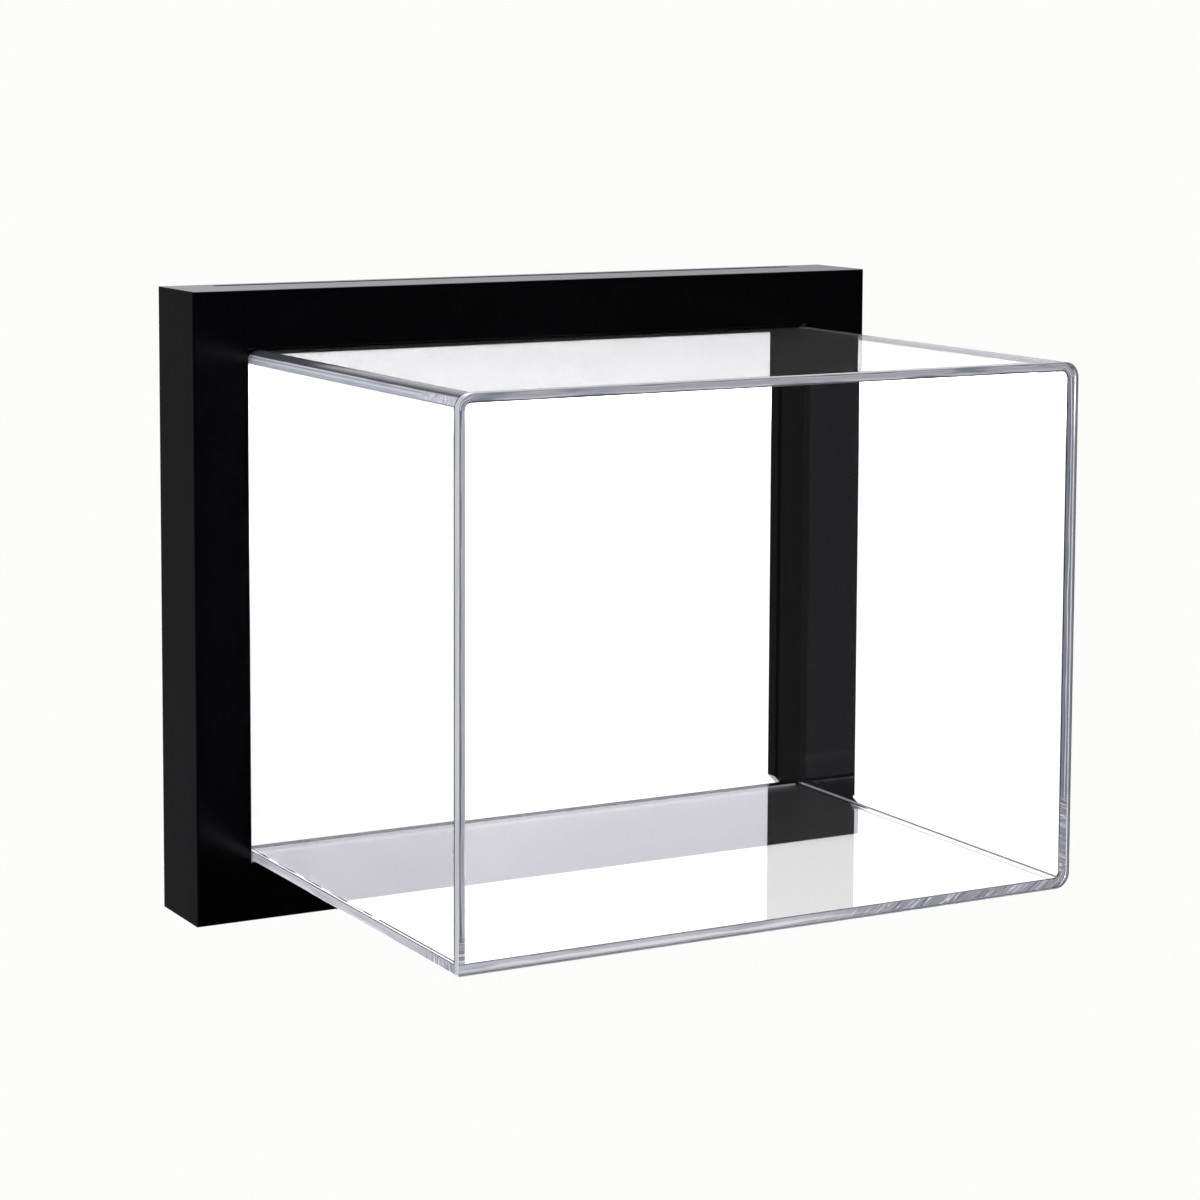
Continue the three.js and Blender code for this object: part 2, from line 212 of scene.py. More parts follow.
def node(tree, kind, settings=None, **links):
    """Adds one node. settings holds its properties, socket values and ramp stops, links what feeds it: a
    socket, or a node, which stands for its first output. A link has its socket's name, with _ for a space, or
    its socket's number after _."""
    made = tree.nodes.new(kind)
    for key, value in (settings or {}).items():
        if key == "stops":
            ramp = made.color_ramp.elements
            ramp[0].position, ramp[1].position = value[0][0], value[-1][0]
            for position, _ in value[1:-1]:
                ramp.new(position)
            for stop, (_, tone) in zip(ramp, value):
                stop.color = linear(tone) if isinstance(tone, str) else (tone, tone, tone, 1)
        elif isinstance(key, int) or key in made.inputs:
            made.inputs[key].default_value = value
        else:
            setattr(made, key, value)
    for key, source in links.items():
        target = made.inputs[int(key[1:])] if key[0] == "_" else made.inputs[key.replace("_", " ")]
        tree.links.new(source.outputs[0] if isinstance(source, bpy.types.Node) else source, target)
    return made


def blank_material(name, colour_hex):
    """A material with an empty tree and a plain viewport colour."""
    made = bpy.data.materials.new(name)
    made.use_nodes = True
    made.node_tree.nodes.clear()
    made.diffuse_color = linear(colour_hex)
    return made, made.node_tree


def mesh_object(name, bm, materials, smooth_angle=35):
    """Turns a bmesh into a linked object with smooth faces and sharp edges past an angle."""
    bmesh.ops.recalc_face_normals(bm, faces=bm.faces)
    mesh = bpy.data.meshes.new(name)
    for face in bm.faces:
        face.smooth = True
    bm.to_mesh(mesh)
    bm.free()
    mesh.set_sharp_from_angle(angle=math.radians(smooth_angle))
    for material in materials:
        mesh.materials.append(material)
    made = bpy.data.objects.new(name, mesh)
    bpy.context.scene.collection.objects.link(made)
    return made


def true_faces(piece):
    """Keeps each broad face optically flat: the narrow faces along its edges don't pull its shading round."""
    flat = piece.modifiers.new("flat_sheets", "WEIGHTED_NORMAL")
    flat.mode = "FACE_AREA"
    flat.weight = BROAD_FACE_WEIGHT
    flat.keep_sharp = True
    return piece


def ease_arrises(bm, ease, steps=1, behind=None):
    """Eases every arris, apart from those that lie wholly at the depth behind."""
    bm.normal_update()
    sharp = [
        e for e in bm.edges if len(e.link_faces) == 2 and e.calc_face_angle() > ARRIS_TURN
        and (behind is None or max(abs(v.co.y - behind) for v in e.verts) > MM)]
    bmesh.ops.bevel(bm, geom=sharp, offset=ease, segments=steps, profile=0.5, affect="EDGES")
    return bm


def lofted(bm, loops):
    """Joins loops of corners, one after another, into a closed form."""
    for near, far in zip(loops, loops[1:]):
        for k in range(len(near)):
            bm.faces.new((near[k - 1], near[k], far[k], far[k - 1]))
    bm.faces.new(loops[0])
    bm.faces.new(loops[-1])
    return bm


def turned(middle, rings):
    """A closed form turned round a line along Y. rings holds (y, radii), with one radius for each spoke."""
    bm = bmesh.new()
    loops = []
    for y, radii in rings:
        turn = 2 * math.pi / len(radii)
        loops.append([
            bm.verts.new((middle.x + r * math.cos(k * turn), y, middle.z + r * math.sin(k * turn)))
            for k, r in enumerate(radii)])
    return lofted(bm, loops)


def rides(piece, body, slot_name, *nodes):
    """Puts a finished piece on its body, in place of the nodes that it stands for."""
    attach(piece, body)
    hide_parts(*nodes)
    return piece


def body_of(node_name):
    return frame["nodes"][node_name]["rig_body"]


def give(node_name, material):
    """Gives a carried-over node a better material."""
    mesh = frame["nodes"][node_name].data
    mesh.materials.clear()
    mesh.materials.append(material)


def bend_path(low, high, seam, radius, steps):
    """The sheet's outer outline in the box from low to high: from the height seam up its left side, and round
    its three bends. Each point comes with its way inwards and the name of the run that starts at it."""
    points = [(Vector((low.x, seam)), Vector((1, 0)), "left")]
    corners = (
        ("upper_left", low.x + radius, high.z - radius, 180, "top"),
        ("upper_right", high.x - radius, high.z - radius, 90, "right"),
        ("lower_right", high.x - radius, low.z + radius, 0, "bottom"))
    for name, x, z, start, after in corners:
        for k in range(steps + 1):
            angle = math.radians(start - 90 * k / steps)
            outwards = Vector((math.cos(angle), math.sin(angle)))
            points.append((Vector((x, z)) + outwards * radius, -outwards, name if k < steps else after))
    points.append((Vector((low.x, low.z)), Vector((0, 1)), "end"))
    return points


# Materials


def lacquered_wood(name, settings, grain_axis):
    """Poplar moulding sprayed with satin black lacquer: nearly black, with a soft sheen on it. The pores lie
    along the bar and show faintly through the lacquer, and the spray leaves a fine orange peel."""
    made, tree = blank_material(name, settings.lacquer)
    place = node(tree, "ShaderNodeTexCoord").outputs["Object"]
    cell = [settings.pore_width] * 3
    cell["xyz".index(grain_axis)] = settings.pore_length
    along = node(tree, "ShaderNodeMapping", {"vector_type": "TEXTURE", "Scale": cell}, Vector=place)
    pores = node(tree, "ShaderNodeTexNoise", {"Scale": 1.0, "Detail": 3.0, "Roughness": 0.55}, Vector=along)
    pore_mask = node(
        tree, "ShaderNodeMapRange", {"From Min": 0.52, "From Max": 0.72}, Value=pores.outputs["Fac"])
    peel = node(
        tree, "ShaderNodeTexNoise", {"Scale": 1 / settings.peel_size, "Detail": 1.0}, Vector=place)
    cloud = node(tree, "ShaderNodeTexNoise", {"Scale": per_metre(60), "Detail": 2.0}, Vector=place)
    tone = node(
        tree, "ShaderNodeMix",
        {"data_type": "RGBA", 6: linear(settings.lacquer), 7: linear(settings.lacquer_worn)},
        Factor=pore_mask)
    sheen = node(tree, "ShaderNodeMapRange", {"To Min": 0.2, "To Max": 0.25}, Value=cloud.outputs["Fac"])
    grain_bump = node(
        tree, "ShaderNodeBump", {"Strength": 0.12, "Distance": 0.05 * MM}, Height=pores.outputs["Fac"])
    peel_bump = node(
        tree, "ShaderNodeBump", {"Strength": 0.1, "Distance": 0.03 * MM},
        Height=peel.outputs["Fac"], Normal=grain_bump)
    shader = node(
        tree, "ShaderNodeBsdfPrincipled", {"IOR": 1.5, "Metallic": 0.0, "Specular IOR Level": 0.35},
        Base_Color=tone.outputs[2], Roughness=sheen, Normal=peel_bump)
    node(tree, "ShaderNodeOutputMaterial", Surface=shader)
    return made


def cast_acrylic(name, settings, clear=1.0):
    """Cast acrylic sheet, glossy on both faces: clear as water, with slow waves that bend what is seen at a
    glance. Below 1, clear turns a share of the sheet matt white, which lifts the black behind it."""
    made, tree = blank_material(name, settings.tint)
    place = node(tree, "ShaderNodeTexCoord").outputs["Object"]
    waves = node(
        tree, "ShaderNodeTexNoise", {"Scale": 1 / settings.wave_length, "Detail": 1.0}, Vector=place)
    bump = node(
        tree, "ShaderNodeBump", {"Strength": 0.15, "Distance": 0.08 * MM}, Height=waves.outputs["Fac"])
    shader = node(
        tree, "ShaderNodeBsdfPrincipled",
        {"Base Color": linear(settings.tint), "IOR": ACRYLIC_IOR, "Metallic": 0.0, "Roughness": 0.0,
         "Transmission Weight": clear},
        Normal=bump)
    node(tree, "ShaderNodeOutputMaterial", Surface=shader)
    return made


def bent_acrylic(name, settings, alpha):
    """Acrylic softened on a strip heater and bent, or flame-polished: as clear as the sheet, with faint lines
    where it was drawn. An alpha of 1 bends what is seen through it, and near 0 only a trace of it shows."""
    made, tree = blank_material(name, settings.tint)
    place = node(tree, "ShaderNodeTexCoord").outputs["Object"]
    draw = node(
        tree, "ShaderNodeMapping", {"vector_type": "TEXTURE", "Scale": (3 * MM, 30 * MM, 3 * MM)},
        Vector=place)
    pull = node(tree, "ShaderNodeTexNoise", {"Scale": 1.0, "Detail": 2.0}, Vector=draw)
    bump = node(tree, "ShaderNodeBump", {"Strength": 0.1, "Distance": 0.05 * MM}, Height=pull.outputs["Fac"])
    shader = node(
        tree, "ShaderNodeBsdfPrincipled",
        {"Base Color": linear(settings.tint), "IOR": ACRYLIC_IOR, "Roughness": 0.0,
         "Transmission Weight": 1.0, "Alpha": alpha},
        Normal=bump)
    node(tree, "ShaderNodeOutputMaterial", Surface=shader)
    return made


def across_axis(axis, start, end):
    """Measures across a straight edge: 0 at one coordinate and 1 at another."""
    def measure(tree, place):
        axes = node(tree, "ShaderNodeSeparateXYZ", Vector=place)
        return node(
            tree, "ShaderNodeMapRange", {"From Min": start, "From Max": end}, Value=axes.outputs[axis])
    return measure


def across_bend(middle, centre, outer, inner):
    """Measures across the rim of a bend: 0 at the sheet's outer face and 1 at its inner face."""
    def measure(tree, place):
        apart = node(tree, "ShaderNodeVectorMath", {"operation": "SUBTRACT", 1: middle}, _0=place)
        folded = node(tree, "ShaderNodeVectorMath", {"operation": "ABSOLUTE"}, _0=apart)
        level = node(tree, "ShaderNodeVectorMath", {"operation": "MULTIPLY", 1: (1, 0, 1)}, _0=folded)
        reach = node(tree, "ShaderNodeVectorMath", {"operation": "DISTANCE", 1: centre}, _0=level)
        return node(
            tree, "ShaderNodeMapRange", {"From Min": outer, "From Max": inner}, Value=reach.outputs["Value"])
    return measure


# How many times as long as wide a rung's streak is, and how far the lines along an edge wander at a sway of 1
RUNG_LENGTH = 12
LINE_SWAY = 2.4
# The light and dark rungs across an edge: saw chatter's pattern, in painted glint and reflection tones
PAINTED_RUNGS = (
    (0.30, "haze"), (0.40, "pearl"), (0.45, "haze"), (0.465, "deep"), (0.48, "haze"), (0.50, "pearl"),
    (0.52, "glint"), (0.535, "haze"), (0.57, "pearl"), (0.60, "haze"), (0.66, "milk"))


def edge_stops(settings, tones):
    """Turns the named tones of a table into the colours of the settings."""
    return [(position, getattr(settings, "edge_" + tone)) for position, tone in tones]


def painted_light_edge(
        name, settings, measure, along, tones, patches=0.0, rungs=None, reach=0.9, gloss=0.5, sway=1.0):
    """Sawn acrylic edge, scraped and solvent-cemented, painted with light: its tones and a painted glow stand
    in for the light that the whole sheet gathers into it, so it looks milky lavender, with painted blue-grey
    reflection streaks along it, a painted dark line at each arris, and rungs in saw chatter's pattern in
    painted glint and reflection tones. tones run across it, and patches is how strongly the streaks show.
    rungs holds an axis, the two places that they fade in between, their lean and their width. reach is how
    far across the streaks and rungs go, gloss the strength of its mirror and sway how far its lines wander."""
    made, tree = blank_material(name, settings.edge_pearl)
    place = node(tree, "ShaderNodeTexCoord").outputs["Object"]
    cell = [settings.streak_width] * 3
    cell[along] = settings.streak_length
    drawn = node(tree, "ShaderNodeMapping", {"vector_type": "TEXTURE", "Scale": cell}, Vector=place)
    streaks = node(tree, "ShaderNodeTexNoise", {"Scale": 1.0, "Detail": 2.0}, Vector=drawn)
    across = measure(tree, place)
    rest = node(tree, "ShaderNodeMath", {"operation": "SUBTRACT", 0: 1.0}, _1=across)
    room = node(tree, "ShaderNodeMath", {"operation": "MULTIPLY"}, _0=across, _1=rest)
    wander = node(
        tree, "ShaderNodeMath", {"operation": "MULTIPLY_ADD", 1: LINE_SWAY * sway, 2: LINE_SWAY * sway / -2},
        _0=streaks.outputs["Fac"])
    moved = node(tree, "ShaderNodeMath", {"operation": "MULTIPLY_ADD"}, _0=room, _1=wander, _2=across)
    bands = node(tree, "ShaderNodeValToRGB", {"stops": edge_stops(settings, tones)}, Fac=moved)
    spread = node(
        tree, "ShaderNodeMapRange", {"From Min": 0.52, "From Max": 0.64, "To Max": patches},
        Value=streaks.outputs["Fac"])
    near = node(tree, "ShaderNodeMapRange", {"From Min": 0.06, "From Max": 0.12}, Value=moved)
    within = node(
        tree, "ShaderNodeMapRange", {"From Min": reach + 0.02, "From Max": reach - 0.02, "To Max": 1.0},
        Value=moved)
    inside = node(tree, "ShaderNodeMath", {"operation": "MULTIPLY"}, _0=near, _1=within)
    spread = node(tree, "ShaderNodeMath", {"operation": "MULTIPLY"}, _0=spread, _1=inside)
    tone = node(
        tree, "ShaderNodeMix", {"data_type": "RGBA", 7: linear(settings.edge_deep)},
        Factor=spread, _6=bands).outputs[2]
    # The rungs mix in painted glints and painted reflection tones
    if rungs:
        axis, start, end, lean, width = rungs
        cell = [RUNG_LENGTH * width] * 3
        cell[along] = width
        leaned = node(
            tree, "ShaderNodeMapping", {"vector_type": "TEXTURE", "Scale": cell, "Rotation": (0, lean, 0)},
            Vector=place)
        chatter = node(
            tree, "ShaderNodeTexNoise", {"Scale": 1.0, "Detail": 2.0, "Roughness": 0.6}, Vector=leaned)
        crossed = node(
            tree, "ShaderNodeValToRGB", {"stops": edge_stops(settings, PAINTED_RUNGS)}, Fac=chatter.outputs["Fac"])
        share = node(
            tree, "ShaderNodeMath", {"operation": "MULTIPLY"},
            _0=across_axis(axis, start, end)(tree, place), _1=inside)
        tone = node(
            tree, "ShaderNodeMix", {"data_type": "RGBA"}, Factor=share, _6=tone, _7=crossed).outputs[2]
    # Painted light: the tone feeds both the base colour and the emission, a glow that stands in for the light
    # the sheet gathers into its edge
    shader = node(
        tree, "ShaderNodeBsdfPrincipled",
        {"IOR": ACRYLIC_IOR, "Roughness": 0.2, "Transmission Weight": 0.12, "Specular IOR Level": gloss,
         "Emission Strength": settings.edge_painted_glow},
        Base_Color=tone, Emission_Color=tone)
    node(tree, "ShaderNodeOutputMaterial", Surface=shader)
    return made


def zinc_plate(name, settings):
    """Mild steel with bright zinc plate: a cool grey mirror, dulled in patches and by the rolling marks."""
    made, tree = blank_material(name, settings.zinc)
    place = node(tree, "ShaderNodeTexCoord").outputs["Object"]
    patches = node(tree, "ShaderNodeTexNoise", {"Scale": per_metre(3), "Detail": 4.0}, Vector=place)
    rolled = node(
        tree, "ShaderNodeMapping", {"vector_type": "TEXTURE", "Scale": (0.25 * MM, 0.25 * MM, 9 * MM)},
        Vector=place)
    marks = node(tree, "ShaderNodeTexNoise", {"Scale": 1.0, "Detail": 2.0}, Vector=rolled)
    tone = node(
        tree, "ShaderNodeMix",
        {"data_type": "RGBA", 6: linear(settings.zinc), 7: linear(settings.zinc_shadow)},
        Factor=patches.outputs["Fac"])
    gloss = node(tree, "ShaderNodeMapRange", {"To Min": 0.22, "To Max": 0.42}, Value=patches.outputs["Fac"])
    bump = node(
        tree, "ShaderNodeBump", {"Strength": 0.25, "Distance": 0.02 * MM}, Height=marks.outputs["Fac"])
    shader = node(
        tree, "ShaderNodeBsdfPrincipled", {"Metallic": 1.0},
        Base_Color=tone.outputs[2], Roughness=gloss, Normal=bump)
    node(tree, "ShaderNodeOutputMaterial", Surface=shader)
    return made


def moulded_rubber(name, settings):
    """Moulded black rubber: matt and faintly pebbled, with a bloom of dust in the pebbles."""
    made, tree = blank_material(name, settings.rubber)
    place = node(tree, "ShaderNodeTexCoord").outputs["Object"]
    pebbles = node(tree, "ShaderNodeTexVoronoi", {"Scale": per_metre(0.35)}, Vector=place)
    tone = node(
        tree, "ShaderNodeMix",
        {"data_type": "RGBA", 6: linear(settings.rubber), 7: linear(settings.rubber_bloom)},
        Factor=pebbles.outputs["Distance"])
    bump = node(
        tree, "ShaderNodeBump", {"Strength": 0.35, "Distance": 0.04 * MM}, Height=pebbles.outputs["Distance"])
    shader = node(
        tree, "ShaderNodeBsdfPrincipled", {"IOR": 1.52, "Roughness": 0.78},
        Base_Color=tone.outputs[2], Normal=bump)
    node(tree, "ShaderNodeOutputMaterial", Surface=shader)
    return made


# The case's pieces


class CASE_OT_frame_bars(Operator):
    """Lacquers the four mitred bars and the stop strip under the top rail"""
    bl_idname = "display_case.frame_bars"
    bl_label = "Frame Bars"

    def execute(self, context):
        settings = context.scene.case_frame
        rail = lacquered_wood("satin_black_lacquer_on_rails", settings, "x")
        stile = lacquered_wood("satin_black_lacquer_on_stiles", settings, "z")
        for name in ("top_rail", "bottom_rail", "top_stop"):
            give(name, rail)
        for name in ("left_stile", "right_stile"):
            give(name, stile)
        return {"FINISHED"}


class CASE_OT_mitre_glue(Operator):
    """Fills the four mitres with the dark glue film that closes them to the eye"""
    bl_idname = "display_case.mitre_glue"
    bl_label = "Mitre Glue"

    def execute(self, context):
        settings = context.scene.case_frame
        glue = lacquered_wood("lacquered_glue_line", settings, "y")
        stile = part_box("left_stile")[0].x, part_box("right_stile")[1].x
        for rail, way_z in (("top_rail", 1), ("bottom_rail", -1)):
            low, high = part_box(rail)
            width = high.z - low.z
            inner_z = low.z if way_z > 0 else high.z
            for side, outer_x in (("left", stile[0]), ("right", stile[1])):
                way_x = math.copysign(1, outer_x)
                corner = Vector((outer_x - way_x * width, 0, inner_z))
                diagonal = Vector((way_x, 0, way_z)).normalized()
                square = Vector((way_x, 0, -way_z)).normalized() * (settings.glue_film / 2)
                reach, front = width * math.sqrt(2), low.y
                inset, cut = settings.glue_inset, settings.glue_cut
                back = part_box("top_stop")[1].y - inset
                outline = [
                    (inset, back), (inset, front + cut), (inset + cut, front + inset),
                    (reach - inset - cut, front + inset), (reach - inset, front + cut), (reach - inset, back)]
                bm = bmesh.new()
                spine = [corner + diagonal * s + Vector((0, y, 0)) for s, y in outline]
                loops = [[bm.verts.new(point + square * way) for point in spine] for way in (-1, 1)]
                film = mesh_object(f"mitre_glue_{rail[:-5]}_{side}", lofted(bm, loops), [glue])
                rides(film, body_of(rail), "black_wood")
        return {"FINISHED"}


# Where the painted line along the lower right bend lies, in degrees below level, from its inner end. It
# stands in for the bend's refraction
PAINTED_LINE_ANGLES = (51, 39)
# Tones across each edge of the cover, from its outer arris to its inner one, or from its front to its back.
# They are painted light: the glints, reflection streaks and dark lines that the edges show
TOP_RIM = (
    (0.0, "dark"), (0.16, "line"), (0.22, "milk"), (0.32, "pearl"), (0.62, "pearl"), (0.72, "milk"),
    (0.82, "milk"), (0.86, "line"), (1.0, "dark"))
LEFT_RIM = (
    (0.0, "haze"), (0.14, "haze"), (0.22, "deep"), (0.46, "deep"), (0.54, "haze"), (0.62, "milk"),
    (0.78, "pearl"), (0.92, "milk"), (1.0, "pearl"))
RIGHT_RIM = (
    (0.0, "haze"), (0.32, "haze"), (0.37, "glint"), (0.45, "glint"), (0.5, "deep"), (0.62, "haze"),
    (0.84, "haze"), (0.9, "line"), (1.0, "line"))
BOTTOM_RIM = (
    (0.0, "milk"), (0.1, "pearl"), (0.18, "milk"), (0.26, "glint"), (0.46, "glint"), (0.54, "milk"),
    (0.8, "milk"), (0.9, "pearl"), (1.0, "haze"))
BENT_RIM = (
    (0.0, "line"), (0.12, "line"), (0.2, "pearl"), (0.34, "pearl"), (0.42, "haze"), (0.52, "glint"),
    (0.6, "haze"), (0.84, "pearl"), (0.9, "line"), (1.0, "line"))
NEAR_EDGE = ((0.0, "haze"), (0.12, "milk"), (0.35, "pearl"), (0.84, "pearl"), (0.92, "haze"), (1.0, "haze"))
FAR_EDGE = ((0.0, "line"), (0.4, "line"), (0.6, "haze"), (1.0, "haze"))
BENT_EDGE = (
    (0.0, "line"), (0.05, "haze"), (0.2, "haze"), (0.34, "pearl"), (0.44, "haze"), (0.52, "haze"),
    (0.58, "milk"), (0.63, "line"), (0.67, "dark"), (1.0, "dark"))
SEAM_EDGE = (
    (0.0, "haze"), (0.08, "milk"), (0.2, "milk"), (0.34, "pearl"), (0.42, "milk"), (0.52, "pearl"),
    (0.94, "pearl"), (1.0, "milk"))
BACK_RIM = ((0.0, "pearl"), (0.85, "pearl"), (0.92, "milk"), (1.0, "glint"))
# Tones of the painted line along the lower right bend, which stands in for its refraction
PAINTED_LINE_TONES = ((0.0, "milk"), (0.3, "haze"), (0.7, "haze"), (1.0, "milk"))
# Tones of the painted highlight along the upper right bend
PAINTED_HIGHLIGHT_TONES = ((0.0, "milk"), (0.5, "glint"), (1.0, "glint"))


class CASE_OT_cover(Operator):
    """Makes the clear cover: a sheet bent round three corners, and a flat front cemented over its edge"""
    bl_idname = "display_case.cover"
    bl_label = "Clear Cover"

    def execute(self, context):
        settings = context.scene.case_cover
        low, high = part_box("cover_wrap")
        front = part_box("cover_front")[0].y
        finishes = self.finishes(settings, low, high, front)
        wrap = self.wrap(settings, low, high, front, finishes)
        rides(wrap, body_of("cover_wrap"), "clear_acrylic", "cover_wrap")
        sheet = self.front_sheet(settings, low, high, front, finishes)
        rides(sheet, body_of("cover_front"), "clear_acrylic", "cover_front")
        return {"FINISHED"}

    def finishes(self, settings, low, high, front):
        """The finishes of the cover's faces, each under a short name."""
        t, r, chatter = settings.sheet, settings.bend_radius, settings.rung_width
        left, right, foot, top = low.x, high.x, low.z, high.z
        middle = Vector(((left + right) / 2, 0, (foot + top) / 2))
        bend_centre = Vector((right - r, 0, top - r)) - middle
        seam, lowest_glow = foot + t, top - settings.bend_glow_depth
        line_start, line_end = (right - r + r * math.cos(math.radians(a)) for a in PAINTED_LINE_ANGLES)
        across_bottom = across_axis("Z", foot, seam)
        across_front = across_axis("Y", front, front + t)
        # Where each edge's rungs fade in: the axis, from where, to where, their lean and their width
        rungs = {
            "painted_glow_bend": ("Y", low.y + 24 * MM, low.y + 20 * MM, 0, 0.7 * MM),
            "left": ("Z", foot + 12 * MM, foot + 8 * MM, 0, chatter),
            "right": ("Z", foot + 30 * MM, foot + 26 * MM, 0.4, chatter),
            "bottom": ("X", middle.x + 5 * MM, middle.x + 45 * MM, 1.0, chatter),
            "seam": ("Y", low.y + 24 * MM, low.y + 18 * MM, 0, 2 * MM),
        }
        return {
            "clear": cast_acrylic("cast_acrylic_sheet", settings),
            "shelf": cast_acrylic("cast_acrylic_shelf", settings, settings.shelf_clear),
            "bend": bent_acrylic("heat_bent_acrylic", settings, 1.0),
            "polished": bent_acrylic("flame_polished_acrylic", settings, settings.rim_show),
            # Painted light on the bends: a painted line along the lower right bend that stands in for its
            # refraction, a painted highlight along the upper right bend, and a painted glow at the top of the
            # upper left bend
            "drawn": painted_light_edge(
                "heat_bent_acrylic_painted_line", settings, across_axis("X", line_start, line_end), 1,
                PAINTED_LINE_TONES),
            "painted_highlight": painted_light_edge(
                "heat_bent_acrylic_lit_line", settings, across_axis("Z", top - r, top), 1, PAINTED_HIGHLIGHT_TONES,
                gloss=0.08),
            "painted_glow_bend": painted_light_edge(
                "heat_bent_acrylic_upper_left_painted_glow", settings, across_axis("Z", lowest_glow, top), 1, BENT_EDGE,
                patches=0.5, rungs=rungs["painted_glow_bend"], reach=0.6, gloss=0.08, sway=0.15),
            # The sawn edges carry painted light: a painted glow, painted reflection streaks, painted glints
            # and painted dark lines
            "left": painted_light_edge(
                "sawn_edge_left", settings, across_axis("X", left, left + t), 2, LEFT_RIM,
                patches=0.3, rungs=rungs["left"]),
            "top": painted_light_edge(
                "sawn_edge_top", settings, across_axis("Z", top, top - t), 0, TOP_RIM, patches=0.7),
            "right": painted_light_edge(
                "sawn_edge_right", settings, across_axis("X", right, right - t), 2, RIGHT_RIM,
                patches=0.2, rungs=rungs["right"]),
            "bottom": painted_light_edge(
                "sawn_edge_bottom", settings, across_bottom, 0, BOTTOM_RIM,
                patches=0.25, rungs=rungs["bottom"]),
            "bent_rim": painted_light_edge(
                "sawn_edge_bent", settings, across_bend(middle, bend_centre, r, r - t), 1, BENT_RIM,
                patches=0.2),
            "seam": painted_light_edge(
                "sawn_edge_seam", settings, across_bottom, 1, SEAM_EDGE, patches=0.3, rungs=rungs["seam"]),
            "back_rim": painted_light_edge("sawn_edge_back", settings, across_bottom, 0, BACK_RIM),
            "near_edge": painted_light_edge(
                "sawn_edge_front_left", settings, across_front, 2, NEAR_EDGE, patches=0.2),
            "far_edge": painted_light_edge(
                "sawn_edge_front_right", settings, across_front, 2, FAR_EDGE, patches=0.2),
        }

    def wrap(self, settings, low, high, front, finishes):
        """The bent sheet. Each run of it has a front rim, an inner face, a rear rim and an outer face."""
        t, steps = settings.sheet, settings.bend_steps
        order = list(finishes)
        path = bend_path(low, high, low.z + t + settings.cement, settings.bend_radius, steps)
        wrap_front, wrap_back = front + t + settings.cement, high.y
        bm = bmesh.new()
        rings = []
        for point, inwards, _ in path:
            inner = point + inwards * t
            rings.append([
                bm.verts.new((p.x, y, p.y)) for p, y in
                ((point, wrap_front), (inner, wrap_front), (inner, wrap_back), (point, wrap_back))])
        sides = {"left": "clear", "top": "shelf", "right": "clear", "bottom": "shelf"}
        # The facets of a bend that carry a line along it, counted from where the bend starts: a painted
        # highlight on the upper right, and on the lower right a painted line that stands in for the bend's
        # refraction
        lines = {
            "upper_right": (range(1, 4), "painted_highlight"),
            "lower_right": (range(steps // 2 - 2, steps // 2 + 2), "drawn"),
        }
        place_in_run, last_run = 0, None
        for (_, _, run), here, after in zip(path, rings, rings[1:]):
            place_in_run = place_in_run + 1 if run == last_run else 0
            last_run = run
            outer = sides.get(run, "bend")
            # The top of the upper left bend carries the painted glow
            if run == "upper_left" and after[0].co.z > high.z - settings.bend_glow_depth:
                outer = "painted_glow_bend"
            elif run in lines and place_in_run in lines[run][0]:
                outer = lines[run][1]
            skins = (
                run if run in sides else "bent_rim", sides.get(run, "bend"),
                "back_rim" if run == "bottom" else "polished", outer)
            for k, skin in enumerate(skins):
                face = bm.faces.new((here[k], here[(k + 1) % 4], after[(k + 1) % 4], after[k]))
                face.material_index = order.index(skin)
        bm.faces.new(rings[0]).material_index = order.index("clear")
        bm.faces.new(rings[-1]).material_index = order.index("seam")
        bmesh.ops.recalc_face_normals(bm, faces=bm.faces)
        ease_arrises(bm, settings.edge_ease, behind=wrap_back)
        return true_faces(mesh_object("bent_cover", bm, finishes.values(), 30))

    def front_sheet(self, settings, low, high, front, finishes):
        """The flat front, with the bent sheet's outline and sawn edges all round."""
        t, r, ease = settings.sheet, settings.bend_radius, settings.edge_ease
        bm = bmesh.new()
        outline = [point for point, _, _ in bend_path(low, high, low.z + r, r, settings.bend_steps)]
        near, far = ([bm.verts.new((p.x, y, p.y)) for p in outline] for y in (front, front + t))
        for k in range(len(outline)):
            x, z = (outline[k - 1] + outline[k]) / 2
            is_near = x < low.x + r or z > high.z - ease
            face = bm.faces.new((near[k - 1], near[k], far[k], far[k - 1]))
            face.material_index = 1 if is_near else 2
        bm.faces.new(near)
        bm.faces.new(far)
        bmesh.ops.recalc_face_normals(bm, faces=bm.faces)
        ease_arrises(bm, ease)
        skins = [finishes[name] for name in ("clear", "near_edge", "far_edge")]
        return true_faces(mesh_object("front_sheet", bm, skins, 30))


